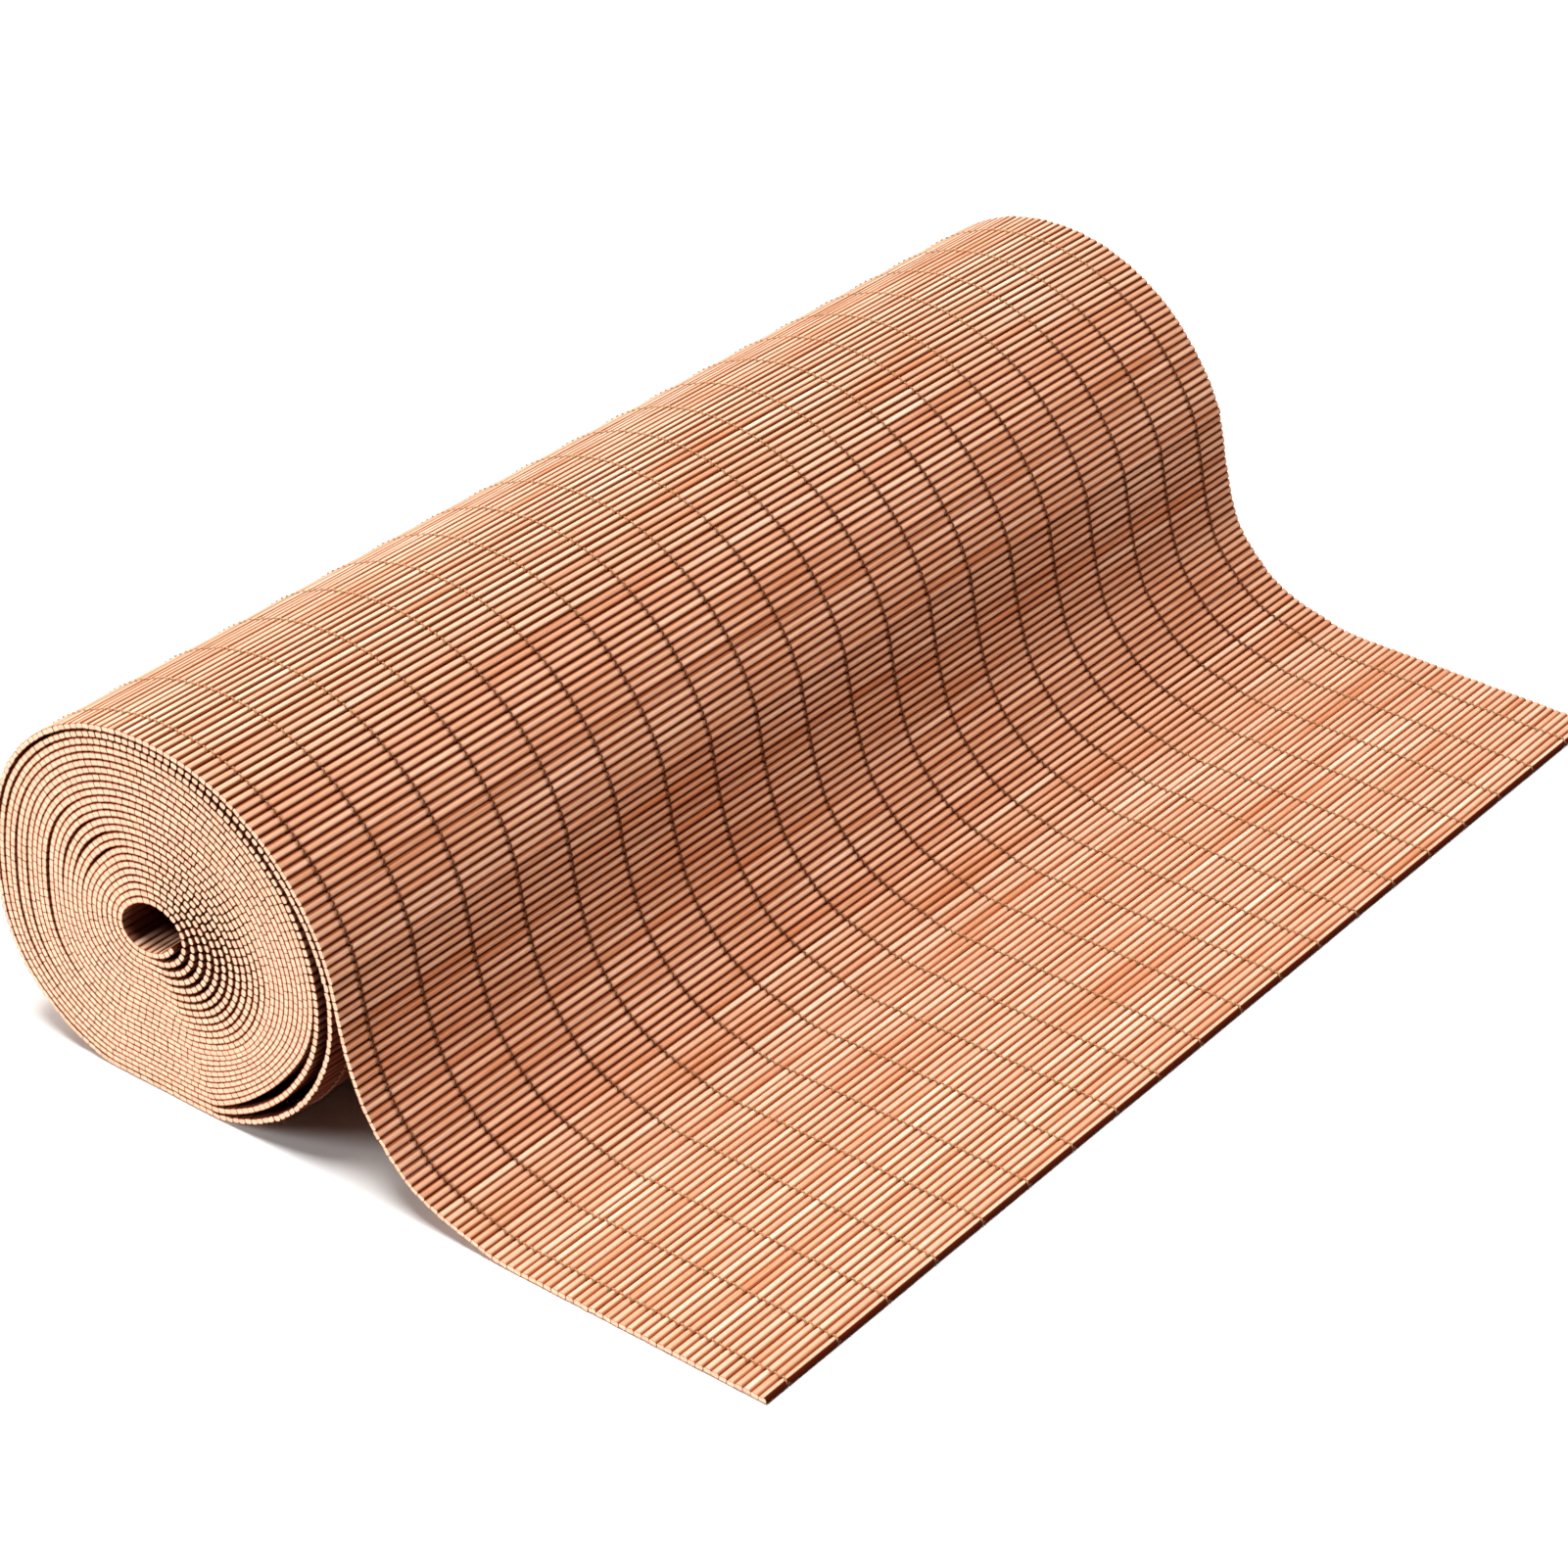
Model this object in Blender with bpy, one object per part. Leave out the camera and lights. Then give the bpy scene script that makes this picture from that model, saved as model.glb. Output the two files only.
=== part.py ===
"""Bamboo table runner, rolled up, with its loose end swept down and out on the surface.

The runner is one mat of thin bamboo slats that lie side by side. Its wound part is one solid, and its
loose end is a second one: it starts on top of the roll, follows it over, leaves it at the side, sweeps
down in an S and lies flat to its cut end. The slats run along Y, from the near end at -Y to the far end
at +Y, the loose end lies towards +X, and the surface under the runner is at Z = 0.
"""
import bmesh
import bpy
import numpy as np

# The mat, in metres
SLAT_LENGTH = 0.300
SLAT_PITCH = 0.00177
MAT_THICKNESS = 0.0013
GROOVE_DEPTH = 0.0003
TURN_GAP = 0.0003

# The roll. Angles are in degrees as seen from the near end, from +X upwards, and go on past 360 as the
# mat winds inwards. Radii are from the middle of the core to the upper face of the mat.
TURNS = 25
CORE_HEIGHT = 0.0368
CORE_HALF_WIDTH = 0.00775
CORE_HALF_HEIGHT = 0.00585
CORE_TILT = 18.0
OUTLINE = [
    # angle, near radius, far radius
    (0, 0.0485, 0.0485),
    (30, 0.0464, 0.0444),
    (60, 0.0443, 0.0423),
    (90, 0.0428, 0.0420),
    (120, 0.0430, 0.0427),
    (150, 0.0431, 0.0430),
    (180, 0.0422, 0.0421),
    (210, 0.0434, 0.0433),
    (240, 0.0411, 0.0411),
    (270, 0.0384, 0.0383),
    (300, 0.0423, 0.0422),
    (330, 0.0467, 0.0466),
]

# The flat foot of the roll, between two angles
FOOT_FROM = 249.0
FOOT_TO = 289.0

# Crescents where an outer turn hangs slack, each below the turn that is counted from the outside
SLACK = [
    # turn, middle angle, half spread, width
    (1, 332, 48, 0.0020),
    (1, 368, 28, 0.0014),
    (2, 325, 42, 0.0016),
]

# The loose end lies on the roll between two angles, then its middle line passes these places. X is
# from the middle of the core. The roll's outermost slat starts a small angle behind the loose end.
LOOSE_FROM = 105.0
LOOSE_TO = 10.0
STEP_ANGLE = 0.6
SWEEP = [
    # near x, near z, far x, far z
    (0.0491, 0.0330, 0.0488, 0.0330),
    (0.0513, 0.0260, 0.0507, 0.0260),
    (0.0555, 0.0171, 0.0544, 0.0171),
    (0.0637, 0.0081, 0.0627, 0.0083),
    (0.0710, 0.0042, 0.0699, 0.0042),
    (0.0795, 0.0017, 0.0791, 0.0016),
    (0.0890, 0.0000, 0.0888, 0.0000),
    (0.1190, 0.0000, 0.1190, 0.0000),
    (0.1481, 0.0000, 0.1481, 0.0000),
]
FLAT_FROM = 0.0905

# The section of one slat, as fractions of its pitch and of the groove's depth
RIB = [
    # across, depth
    (0.00, 1.00),
    (0.18, 0.18),
    (0.50, 0.00),
    (0.82, 0.18),
]

BAMBOO = (0.72, 0.42, 0.22, 1.0)
BAMBOO_LOOSE = (0.78, 0.48, 0.27, 1.0)
BAMBOO_ROUGHNESS = 0.5
SHARP_ANGLE = 40.0

# Columns of the outline for the mat's two ends, and how finely arcs and curves are drawn
NEAR, FAR = 1, 2
ARC_STEP = 2.5
CORE_STEP = 12.0
CURVE_STEP = 0.1


def core_radius(angle):
    """Radius of the open core, a tilted ellipse."""
    turn = np.radians(np.asarray(angle) - CORE_TILT)
    across = CORE_HALF_HEIGHT * np.cos(turn)
    up = CORE_HALF_WIDTH * np.sin(turn)
    return CORE_HALF_WIDTH * CORE_HALF_HEIGHT / np.hypot(across, up)


def catmull_rom(before, start, end, after, part):
    """Point on the smooth curve between start and end."""
    return 0.5 * (2 * start + (end - before) * part
                  + (2 * before - 5 * start + 4 * end - after) * part ** 2
                  + (3 * start - before - 3 * end + after) * part ** 3)


def outline_radius(angle, side):
    """Radius of the roll's outline at an angle, smooth through the table's rows."""
    radii = np.array([row[side] for row in OUTLINE])
    place = np.asarray(angle, float) / 360 * len(radii)
    row = np.floor(place).astype(int)
    part = place - row
    around = [radii[(row + step) % len(radii)] for step in (-1, 0, 1, 2)]
    return catmull_rom(*around, part)


def winding_radius(angle, side):
    """Radius of the mat's upper face, which shrinks from the outline to the core over all the turns."""
    core = core_radius(angle)
    return core + (outline_radius(angle, side) - core) * (1 - np.asarray(angle) / 360 / TURNS)


def slack_width(turn, angle):
    """Width of the crescent below an outer turn."""
    width = np.zeros_like(angle)
    for row_turn, middle, spread, widest in SLACK:
        if row_turn == turn:
            swing = np.clip((angle - middle) / spread, -1, 1)
            width += widest * np.cos(swing * np.pi / 2) ** 2
    return width


def polar_points(angle, radius):
    """Points (x, z) about the middle of the core, none below the surface."""
    turn = np.radians(angle)
    height = np.maximum(CORE_HEIGHT + radius * np.sin(turn), 0)
    return np.column_stack([radius * np.cos(turn), height])


def arc_angles(start, end):
    """Evenly spaced angles from start to end, close enough for a round arc."""
    return np.linspace(start, end, int(abs(end - start) / ARC_STEP) + 2)


def along(path, fractions):
    """Points and left-hand unit normals at fractions of a path's length."""
    step = np.linalg.norm(np.diff(path, axis=0), axis=1)
    length = np.concatenate([[0], np.cumsum(step)])
    length = length / length[-1]
    points = np.column_stack([np.interp(fractions, length, path[:, axis]) for axis in (0, 1)])
    slope = np.gradient(path, length, axis=0)
    slope = np.column_stack([np.interp(fractions, length, slope[:, axis]) for axis in (0, 1)])
    slope /= np.linalg.norm(slope, axis=1)[:, None]
    return points, np.column_stack([-slope[:, 1], slope[:, 0]])


def path_length(path):
    return np.linalg.norm(np.diff(path, axis=0), axis=1).sum()


def slat_count(path):
    return round(path_length(path) / SLAT_PITCH)


def ribbed(path, count, outwards, rise=0.0):
    """The path lifted to the outward side, with a groove between each slat and the next."""
    across = [(slat + part) / count for slat in range(count) for part, _ in RIB] + [1.0]
    depth = [depth for _ in range(count) for _, depth in RIB] + [RIB[0][1]]
    points, normals = along(path, np.array(across))
    lift = rise - GROOVE_DEPTH * np.array(depth)
    return points + outwards * normals * lift[:, None]


def roll_outline(side):
    """Outline of the roll: ribbed where it shows, flat at its foot, plain under the loose end."""
    start = LOOSE_FROM + STEP_ANGLE
    shown = []
    for angle in (arc_angles(start, FOOT_FROM), arc_angles(FOOT_TO, 360)):
        count = slat_count(polar_points(angle, winding_radius(angle, NEAR)))
        shown.append(ribbed(polar_points(angle, winding_radius(angle, side)), count, -1))
    back, front = shown

    # The two ribbed stretches end on the surface, and the foot between them is flat
    back[-1, 1] = 0
    front[0, 1] = 0
    under = arc_angles(360, start + 360)[1:]
    below_loose = winding_radius(under - 360, side) - MAT_THICKNESS - TURN_GAP
    covered = np.minimum(winding_radius(under, side), below_loose)
    return np.vstack([back, front, polar_points(under, covered)])


def core_outline():
    angle = np.arange(0, 360, CORE_STEP)
    return polar_points(angle, core_radius(angle))


def slack_outline(turn, side):
    """Crescent-shaped gap below an outer turn, drawn between that turn and the next one in."""
    rows = [row for row in SLACK if row[0] == turn]
    start = min(row[1] - row[2] for row in rows)
    end = max(row[1] + row[2] for row in rows)
    angle = arc_angles(start, end)
    outer = winding_radius(angle, side) - MAT_THICKNESS
    for outer_turn in range(1, turn):
        outer = outer - slack_width(outer_turn, angle) - MAT_THICKNESS
    inner = outer - slack_width(turn, angle)
    return np.vstack([polar_points(angle, outer), polar_points(angle, inner)[-2:0:-1]])


def loose_path(side):
    """Middle line of the loose end, from the top of the roll to the cut end."""
    on_roll = arc_angles(LOOSE_FROM, LOOSE_TO)
    lying = polar_points(on_roll, winding_radius(on_roll, side) - MAT_THICKNESS / 2)
    column = 2 * (side - NEAR)
    sweep = np.array([(row[column], row[column + 1] + MAT_THICKNESS / 2) for row in SWEEP])
    places = np.vstack([lying, sweep])
    places = np.vstack([2 * places[0] - places[1], places, 2 * places[-1] - places[-2]])
    curve = []
    for before, start, end, after in zip(places, places[1:], places[2:], places[3:]):
        curve += [catmull_rom(before, start, end, after, part) for part in np.arange(0, 1, CURVE_STEP)]
    curve = np.array(curve + [places[-2]])
    curve[:, 1] = np.maximum(curve[:, 1], MAT_THICKNESS / 2)
    return curve


def loose_outline(side):
    """Outline of the loose end's sheet: slats on its upper face, a smooth lower face."""
    path = loose_path(side)
    count = slat_count(loose_path(NEAR))
    upper = ribbed(path, count, 1, MAT_THICKNESS / 2)
    points, normals = along(path, np.linspace(0, 1, count + 1))
    lower = points - normals * MAT_THICKNESS / 2
    raised = lower[lower[:, 0] < FLAT_FROM]
    flat = [(FLAT_FROM, 0), (lower[-1, 0], 0)]
    return np.vstack([upper, flat[::-1], raised[::-1]])


def lofted_solid(name, near_loops, far_loops, colour):
    """Closed solid between the near and far sections. The first loop is the outside, others are holes."""
    mesh = bmesh.new()
    rings = {}
    for y, loops in ((-SLAT_LENGTH / 2, near_loops), (SLAT_LENGTH / 2, far_loops)):
        rings[y] = [[mesh.verts.new((x, y, z)) for x, z in loop] for loop in loops]
        edges = [mesh.edges.new((ring[i - 1], ring[i])) for ring in rings[y] for i in range(len(ring))]
        bmesh.ops.triangle_fill(mesh, edges=edges, use_beauty=True)
    for near_ring, far_ring in zip(*rings.values()):
        for i in range(len(near_ring)):
            mesh.faces.new((near_ring[i - 1], near_ring[i], far_ring[i]))
            mesh.faces.new((near_ring[i - 1], far_ring[i], far_ring[i - 1]))
    bmesh.ops.recalc_face_normals(mesh, faces=mesh.faces)
    data = bpy.data.meshes.new(name)
    mesh.to_mesh(data)
    mesh.free()
    data.shade_smooth()
    data.set_sharp_from_angle(angle=np.radians(SHARP_ANGLE))
    solid = bpy.data.objects.new(name, data)
    bpy.context.scene.collection.objects.link(solid)
    data.materials.append(bamboo_material(name + "_bamboo", colour))
    return solid


def bamboo_material(name, colour):
    material = bpy.data.materials.new(name)
    material.use_nodes = True
    shader = material.node_tree.nodes["Principled BSDF"]
    shader.inputs["Base Color"].default_value = colour
    shader.inputs["Roughness"].default_value = BAMBOO_ROUGHNESS
    shader.inputs["Metallic"].default_value = 0.0
    return material


def main():
    for thing in list(bpy.data.objects):
        bpy.data.objects.remove(thing)
    sections = {}
    for side in (NEAR, FAR):
        crescents = [slack_outline(turn, side) for turn in sorted({row[0] for row in SLACK})]
        sections[side] = [roll_outline(side), core_outline()] + crescents
    loose = {side: [loose_outline(side)] for side in (NEAR, FAR)}

    # The origin is below the middle of the whole runner
    every_x = np.concatenate([group[side][0][:, 0] for group in (sections, loose) for side in (NEAR, FAR)])
    middle = (every_x.min() + every_x.max()) / 2
    for group in (sections, loose):
        for loops in group.values():
            for loop in loops:
                loop[:, 0] -= middle
    lofted_solid("wound_roll", sections[NEAR], sections[FAR], BAMBOO)
    lofted_solid("loose_end", loose[NEAR], loose[FAR], BAMBOO_LOOSE)


main()
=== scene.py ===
"""Bamboo table runner, rolled, with its loose end swept down and out: every slat and every stitch.

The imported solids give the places: wound_roll is replaced by the slats of the wound turns, and loose_end by
the slats from the top of the roll to the cut end. The mat is followed from its cut end inwards. Slats lie
along Y, from the near end at -Y to the far end at +Y. Everything is in metres in the frame's own axes.
"""

import bpy
import numpy as np
from bpy.props import FloatProperty, FloatVectorProperty, IntProperty, PointerProperty
from mathutils import Matrix, Vector


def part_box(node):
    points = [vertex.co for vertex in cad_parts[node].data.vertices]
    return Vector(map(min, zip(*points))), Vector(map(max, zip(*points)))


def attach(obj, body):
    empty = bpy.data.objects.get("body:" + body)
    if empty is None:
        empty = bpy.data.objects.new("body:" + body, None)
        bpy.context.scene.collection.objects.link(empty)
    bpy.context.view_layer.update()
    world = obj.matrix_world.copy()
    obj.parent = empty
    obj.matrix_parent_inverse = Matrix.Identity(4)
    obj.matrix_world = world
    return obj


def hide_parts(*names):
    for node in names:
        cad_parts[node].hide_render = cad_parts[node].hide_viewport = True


bl_info = {
    "name": "Bamboo table runner",
    "version": (1, 0, 0),
    "blender": (4, 5, 0),
    "location": "3D View > Sidebar > Runner",
    "description": "Builds a rolled mat of stitched bamboo slats on its packed solids",
    "category": "Object",
}

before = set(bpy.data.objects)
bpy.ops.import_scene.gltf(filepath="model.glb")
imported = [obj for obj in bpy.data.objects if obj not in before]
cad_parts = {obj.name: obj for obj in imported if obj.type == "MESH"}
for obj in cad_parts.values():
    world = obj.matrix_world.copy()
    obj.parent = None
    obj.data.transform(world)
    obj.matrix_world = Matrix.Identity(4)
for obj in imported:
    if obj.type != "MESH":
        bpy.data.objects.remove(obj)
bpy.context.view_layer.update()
BODY = "root"

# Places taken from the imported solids. The core's middle lies a known way behind the cut end.
CUT_END = 0.1481
CORE_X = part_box("loose_end")[1].x - CUT_END
NEAR_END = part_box("wound_roll")[0].y
FAR_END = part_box("wound_roll")[1].y
SLAT_LENGTH = FAR_END - NEAR_END

# The roll. Angles are in degrees as seen from the near end, from +X upwards, and go on past 360 as the
# mat winds inwards. Radii are from the middle of the core to the upper face of the mat.
MAT_THICKNESS = 0.0013
TURNS = 25
CORE_HEIGHT = 0.0368
CORE_HALF_WIDTH = 0.00775
CORE_HALF_HEIGHT = 0.00585
CORE_TILT = 18.0
OUTLINE = [
    # angle, near radius, far radius
    (0, 0.0485, 0.0485),
    (30, 0.0464, 0.0444),
    (60, 0.0443, 0.0423),
    (90, 0.0428, 0.0420),
    (120, 0.0430, 0.0427),
    (150, 0.0431, 0.0430),
    (180, 0.0422, 0.0421),
    (210, 0.0434, 0.0433),
    (240, 0.0411, 0.0411),
    (270, 0.0384, 0.0383),
    (300, 0.0423, 0.0422),
    (330, 0.0467, 0.0466),
]

# Where an outer turn hangs slack, each row below the turn that is counted from the outside
SLACK = [
    # turn, middle angle, half spread, width
    (1, 332, 48, 0.0020),
    (1, 368, 28, 0.0014),
    (1, 402, 45, 0.0005),
    (2, 325, 42, 0.0016),
    (1, 150, 60, 0.0004),
    (2, 160, 55, 0.0003),
    (4, 185, 55, 0.0005),
    (6, 190, 50, 0.0004),
    (10, 180, 65, 0.0007),
    (13, 150, 45, 0.0004),
    (15, 140, 40, 0.0004),
    (17, 140, 40, 0.0004),
]

# Over so many turns further inwards, that slack fades away
SLACK_TURNS = 10

# Towards this angle the innermost turns lie more openly than the middle ones
OPEN_ANGLE = -20.0
OPENNESS = 0.55

# Sections of covered slats: their points, the power of their outline where they lie tight, and where they
# are rounder and narrower. Those of the inner turns are rounder towards one angle, and less so further out.
COVERED_POINTS = 12
SQUARE, ROUND = 5.0, 1.95
ROUND_WIDTH = 0.84
ROUND_ANGLE = 12.0
ROUND_FADE = 1.5
ROUND_TURNS = 15
ROUND_GAIN = 1.6

# The slats of the turns next to the outermost are rounder too, towards this angle
OUTER_ROUND_ANGLE = 45.0
OUTER_ROUND_TURNS = 3

# The loose end lies on the roll between two angles, then its middle line passes these places
LOOSE_FROM = 105.0
LOOSE_TO = 10.0
SWEEP = [
    # near x, near z, far x, far z
    (0.0491, 0.0330, 0.0488, 0.0330),
    (0.0513, 0.0260, 0.0507, 0.0260),
    (0.0555, 0.0171, 0.0544, 0.0171),
    (0.0637, 0.0081, 0.0627, 0.0083),
    (0.0710, 0.0042, 0.0699, 0.0042),
    (0.0795, 0.0017, 0.0791, 0.0016),
    (0.0890, 0.0000, 0.0888, 0.0000),
    (0.1190, 0.0000, 0.1190, 0.0000),
    (0.1481, 0.0000, 0.1481, 0.0000),
]

# Points of its stretch on the roll, and the step of the curve through all of them
LYING_POINTS = 40
CURVE_STEP = 0.1

# Degrees from one point of the winding to the next, and the angle up to which its slats show whole
WINDING_STEP = 1.0
SHOWN_TO = 402.0

# Columns of the outline's table, one for each end of the slats
NEAR, FAR = 1, 2

# A length or height too small to matter
TINY = 1e-6

# Section of a slat, as parts of its half width and half thickness, from one side over the crowned top
SLAT_SECTION = [
    # across, height
    (1.00, -0.15),
    (0.91, 0.42),
    (0.64, 0.80),
    (0.24, 0.98),
    (-0.24, 0.98),
    (-0.64, 0.80),
    (-0.91, 0.42),
    (-1.00, -0.15),
    (-0.84, -0.90),
    (0.84, -0.90),
]

# A slat's width at a row of stitching, as a part of its width elsewhere, and how far the pinch reaches
PINCH = 0.85
STITCH_REACH = 0.0011

# The worn edge round a slat's cut end: its length, and the thickness left there
CHAMFER = 0.00016
END_TAPER = 0.96

# How much the slats vary, as one standard deviation: width and thickness as parts of their own, height in
# metres, and tilt in degrees, for the whole slat and for each bay between two rows of stitching
WIDTH_SPREAD = 0.015
THICKNESS_SPREAD = 0.04
HEIGHT_SPREAD = 0.00004
TILT_SPREAD = 3.5
BAY_TILT_SPREAD = 2.0

# Waves along a slat, in radians over its length: two for its bow and two for its height, with the share of
# each second one and the height of the first
BOW_WAVES = (15, 37)
HEIGHT_WAVES = (19, 43)
SECOND_WAVE = 0.7
WAVE_HEIGHT = 0.00002

# An uneven end stands in or out over one part in this many of the slat's length
ENDS_FADE = 40

# Covered slats are less uneven than the others
COVERED_UNEVENNESS = 0.25

# The most of its turn's room that a wound slat's thickness fills
ROOM_FILLED = 0.96

# One stitch over a slat, from the gap before it. The next stitch begins in the gap after it.
STITCH = [
    # along the mat, height, slant
    (-0.50, 0.00, -1.0),
    (-0.30, 0.86, -0.6),
    (0.00, 1.12, 0.0),
    (0.30, 0.86, 0.6),
]

# How far past a slat's face a strand's middle lies at a stitch's height of 1, as a part of its diameter,
# and the strands' numbers of sides
STRAND_REACH = 0.30
LOOSE_STRAND_SIDES = 5
ROLL_STRAND_SIDES = 4

# How a row of stitching wanders: a slow wave, its radians from slat to slat, and the spread of each stitch
ROW_WAVE = 0.00010
ROW_WAVE_TURN = 0.11
STITCH_SPREAD = 0.00005

# Places along the mat, from the cut end, between which the sweep's painted shade rises and then falls again;
# out of it the stitching is painted lighter
SWEEP_SHADE_RISE = (0.055, 0.085)
SWEEP_SHADE_FALL = (0.180, 0.150)

# Places along the mat between which it leaves the flat and bends; from there on its grooves get painted shade
BENDS = (0.050, 0.090)

# The outer turn gets painted shadow from this angle on, below the loose end, and between two angles the
# core's floor near its opening is left free of the painted shade inside the roll
SHADOW_ANGLE = 285.0
CORE_FLOOR = (212.0, 318.0)

# A place, or the number of a slat, past the whole mat, for what a material leaves out
NEVER = 10000.0

RANDOM_SEED = 11


def length_property(name, description, default, low, high, precision=5):
    """A length of the runner, in metres."""
    return FloatProperty(
        name=name, description=description, default=default, min=low, max=high, precision=precision,
        unit="LENGTH")


class RunnerSizes(bpy.types.PropertyGroup):
    """Sizes of the slats and the stitching."""

    slat_pitch: length_property(
        "Slat pitch", "From one slat to the next along the mat", 0.00177, 0.001, 0.01)
    slat_width: length_property(
        "Slat width", "Width of one slat", 0.00181, 0.0005, 0.01)
    slat_thickness: length_property(
        "Slat thickness", "Thickness of one slat", 0.00128, 0.0005, 0.005)
    bow: length_property(
        "Bow", "How far a slat wanders between its rows of stitching", 0.00003, 0.0, 0.001)
    uneven_ends: length_property(
        "Uneven ends", "How far the slats' ends stand in or out", 0.00005, 0.0, 0.005)
    thread: length_property(
        "Thread", "Diameter of one strand of the stitching", 0.00043, 0.0001, 0.002)
    rows: IntProperty(
        name="Rows", description="Rows of stitching across the slats",
        default=20, min=2, max=60)
    first_row: length_property(
        "First row", "From the near end to the first row of stitching", 0.0064, 0.001, 0.05, 4)
    row_pitch: length_property(
        "Row pitch", "From one row of stitching to the next", 0.0149, 0.002, 0.1, 4)
    slant: length_property(
        "Slant", "How far a stitch moves along the slat on each side of its row", 0.00040, 0.0, 0.002)


def colour_property(name, description, default):
    """A named colour of the runner."""
    return FloatVectorProperty(
        name=name, description=description, default=default, size=4, min=0, max=1, subtype="COLOR")


class RunnerColours(bpy.types.PropertyGroup):
    """Colours of the bamboo and the thread."""

    light: colour_property("Light slats", "The palest slats", (0.90, 0.69, 0.53, 1))
    middle: colour_property("Middle slats", "Most of the slats", (0.74, 0.47, 0.32, 1))
    deep: colour_property("Deep slats", "The darkest slats", (0.60, 0.25, 0.12, 1))
    # Partly painted shade: the flanks' colour is the bamboo's deeper flank tone and also stands in for the
    # shade on the rounded top
    side: colour_property(
        "Slat sides", "The flanks of the slats, down to their feet", (0.46, 0.125, 0.040, 1))
    # Painted shade: the tint multiplied into the slats in the sweep
    sweep_shade_tint: colour_property(
        "Painted sweep shade", "What the slats are tinted with in the sweep", (1.0, 0.85, 0.78, 1))
    # Painted shade: the dark colour that the foot, groove, row, inside, underside, loose-end and cut-side
    # masks mix in
    gap: colour_property(
        "Gaps", "Painted shade, deep in the gaps and wherever the slats are painted dark", (0.085, 0.010, 0.003, 1))
    end: colour_property("Slat ends", "The cut ends of the slats", (1.0, 0.73, 0.53, 1))
    pore: colour_property("Pores", "The pores and rims of the cut ends", (0.56, 0.120, 0.035, 1))
    # Painted light and shade: the stitching is painted dark in the sweep and under the loose end, lighter
    # elsewhere where the mat is lit, and darker still where it dips between slats
    thread: colour_property(
        "Thread", "The stitching over slats, painted dark in the sweep and under the loose end", (0.22, 0.065, 0.020, 1))
    lit_thread: colour_property(
        "Lit thread", "The stitching over slats, painted lighter where the mat is lit", (0.52, 0.28, 0.13, 1))
    shaded_thread_in_gaps: colour_property(
        "Thread in gaps", "The stitching between slats", (0.045, 0.008, 0.003, 1))
    lit_thread_in_gaps: colour_property(
        "Lit thread in gaps", "The stitching between slats, painted lighter where the mat is lit", (0.17, 0.05, 0.018, 1))


def core_radius(angle):
    """Radius of the open core, a tilted ellipse."""
    turn = np.radians(np.asarray(angle) - CORE_TILT)
    across = CORE_HALF_HEIGHT * np.cos(turn)
    up = CORE_HALF_WIDTH * np.sin(turn)
    return CORE_HALF_WIDTH * CORE_HALF_HEIGHT / np.hypot(across, up)


def catmull_rom(before, start, end, after, part):
    """Point on the smooth curve between start and end."""
    return 0.5 * (2 * start + (end - before) * part
                  + (2 * before - 5 * start + 4 * end - after) * part ** 2
                  + (3 * start - before - 3 * end + after) * part ** 3)


def outline_radius(angle, side):
    """Radius of the roll's outline at an angle, smooth through the table's rows."""
    radii = np.array([row[side] for row in OUTLINE])
    place = np.asarray(angle, float) / 360 * len(radii)
    row = np.floor(place).astype(int)
    around = [radii[(row + step) % len(radii)] for step in (-1, 0, 1, 2)]
    return catmull_rom(*around, place - row)


def resting_radius(angle, side):
    """The outline's radius, held in where the roll rests, so that its outermost turn lies on the surface."""
    core = core_radius(angle)
    first = 1 - (angle % 360) / 360 / TURNS
    down = np.maximum(-np.sin(np.radians(angle)), TINY)
    on_surface = core + (CORE_HEIGHT / down - core) / first
    return np.minimum(outline_radius(angle, side), on_surface)


def slack_shift(angle):
    """How far a turn lies further in because the turns outside it hang slack."""
    shift = np.zeros_like(angle)
    for turn, middle, spread, width in SLACK:
        passes = np.round((angle - middle) / 360)
        swing = np.clip((angle - middle - 360 * passes) / spread, -1, 1)
        fade = np.clip(1 - (passes - turn) / SLACK_TURNS, 0, 1)
        shift += np.where(passes >= turn, width * fade * np.cos(swing * np.pi / 2) ** 2, 0)
    return shift


def winding_radius(angle, side):
    """Radius of the mat's upper face, which shrinks from the outline to the core over all the turns."""
    core = core_radius(angle)
    share = 1 - angle / 360 / TURNS
    opening = OPENNESS * np.maximum(np.cos(np.radians(angle - OPEN_ANGLE)), 0) ** 2
    share = share + opening * share * (1 - share) ** 2
    return core + (resting_radius(angle, side) - core) * share - slack_shift(angle)


def polar_points(angle, radius):
    """Points (x, z) about the middle of the core."""
    turn = np.radians(angle)
    return np.column_stack([radius * np.cos(turn), CORE_HEIGHT + radius * np.sin(turn)])


def loose_line(side):
    """Middle line of the loose end, from the top of the roll to the cut end."""
    on_roll = np.linspace(LOOSE_FROM, LOOSE_TO, LYING_POINTS)
    lying = polar_points(on_roll, winding_radius(on_roll, side) - MAT_THICKNESS / 2)
    column = 2 * (side - NEAR)
    sweep = np.array([(row[column], row[column + 1] + MAT_THICKNESS / 2) for row in SWEEP])
    places = np.vstack([lying, sweep])
    places = np.vstack([2 * places[0] - places[1], places, 2 * places[-1] - places[-2]])
    curve = []
    parts = np.arange(0, 1, CURVE_STEP)
    for before, start, end, after in zip(places, places[1:], places[2:], places[3:]):
        curve += [catmull_rom(before, start, end, after, part) for part in parts]
    return np.array(curve + [places[-2]])


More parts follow.
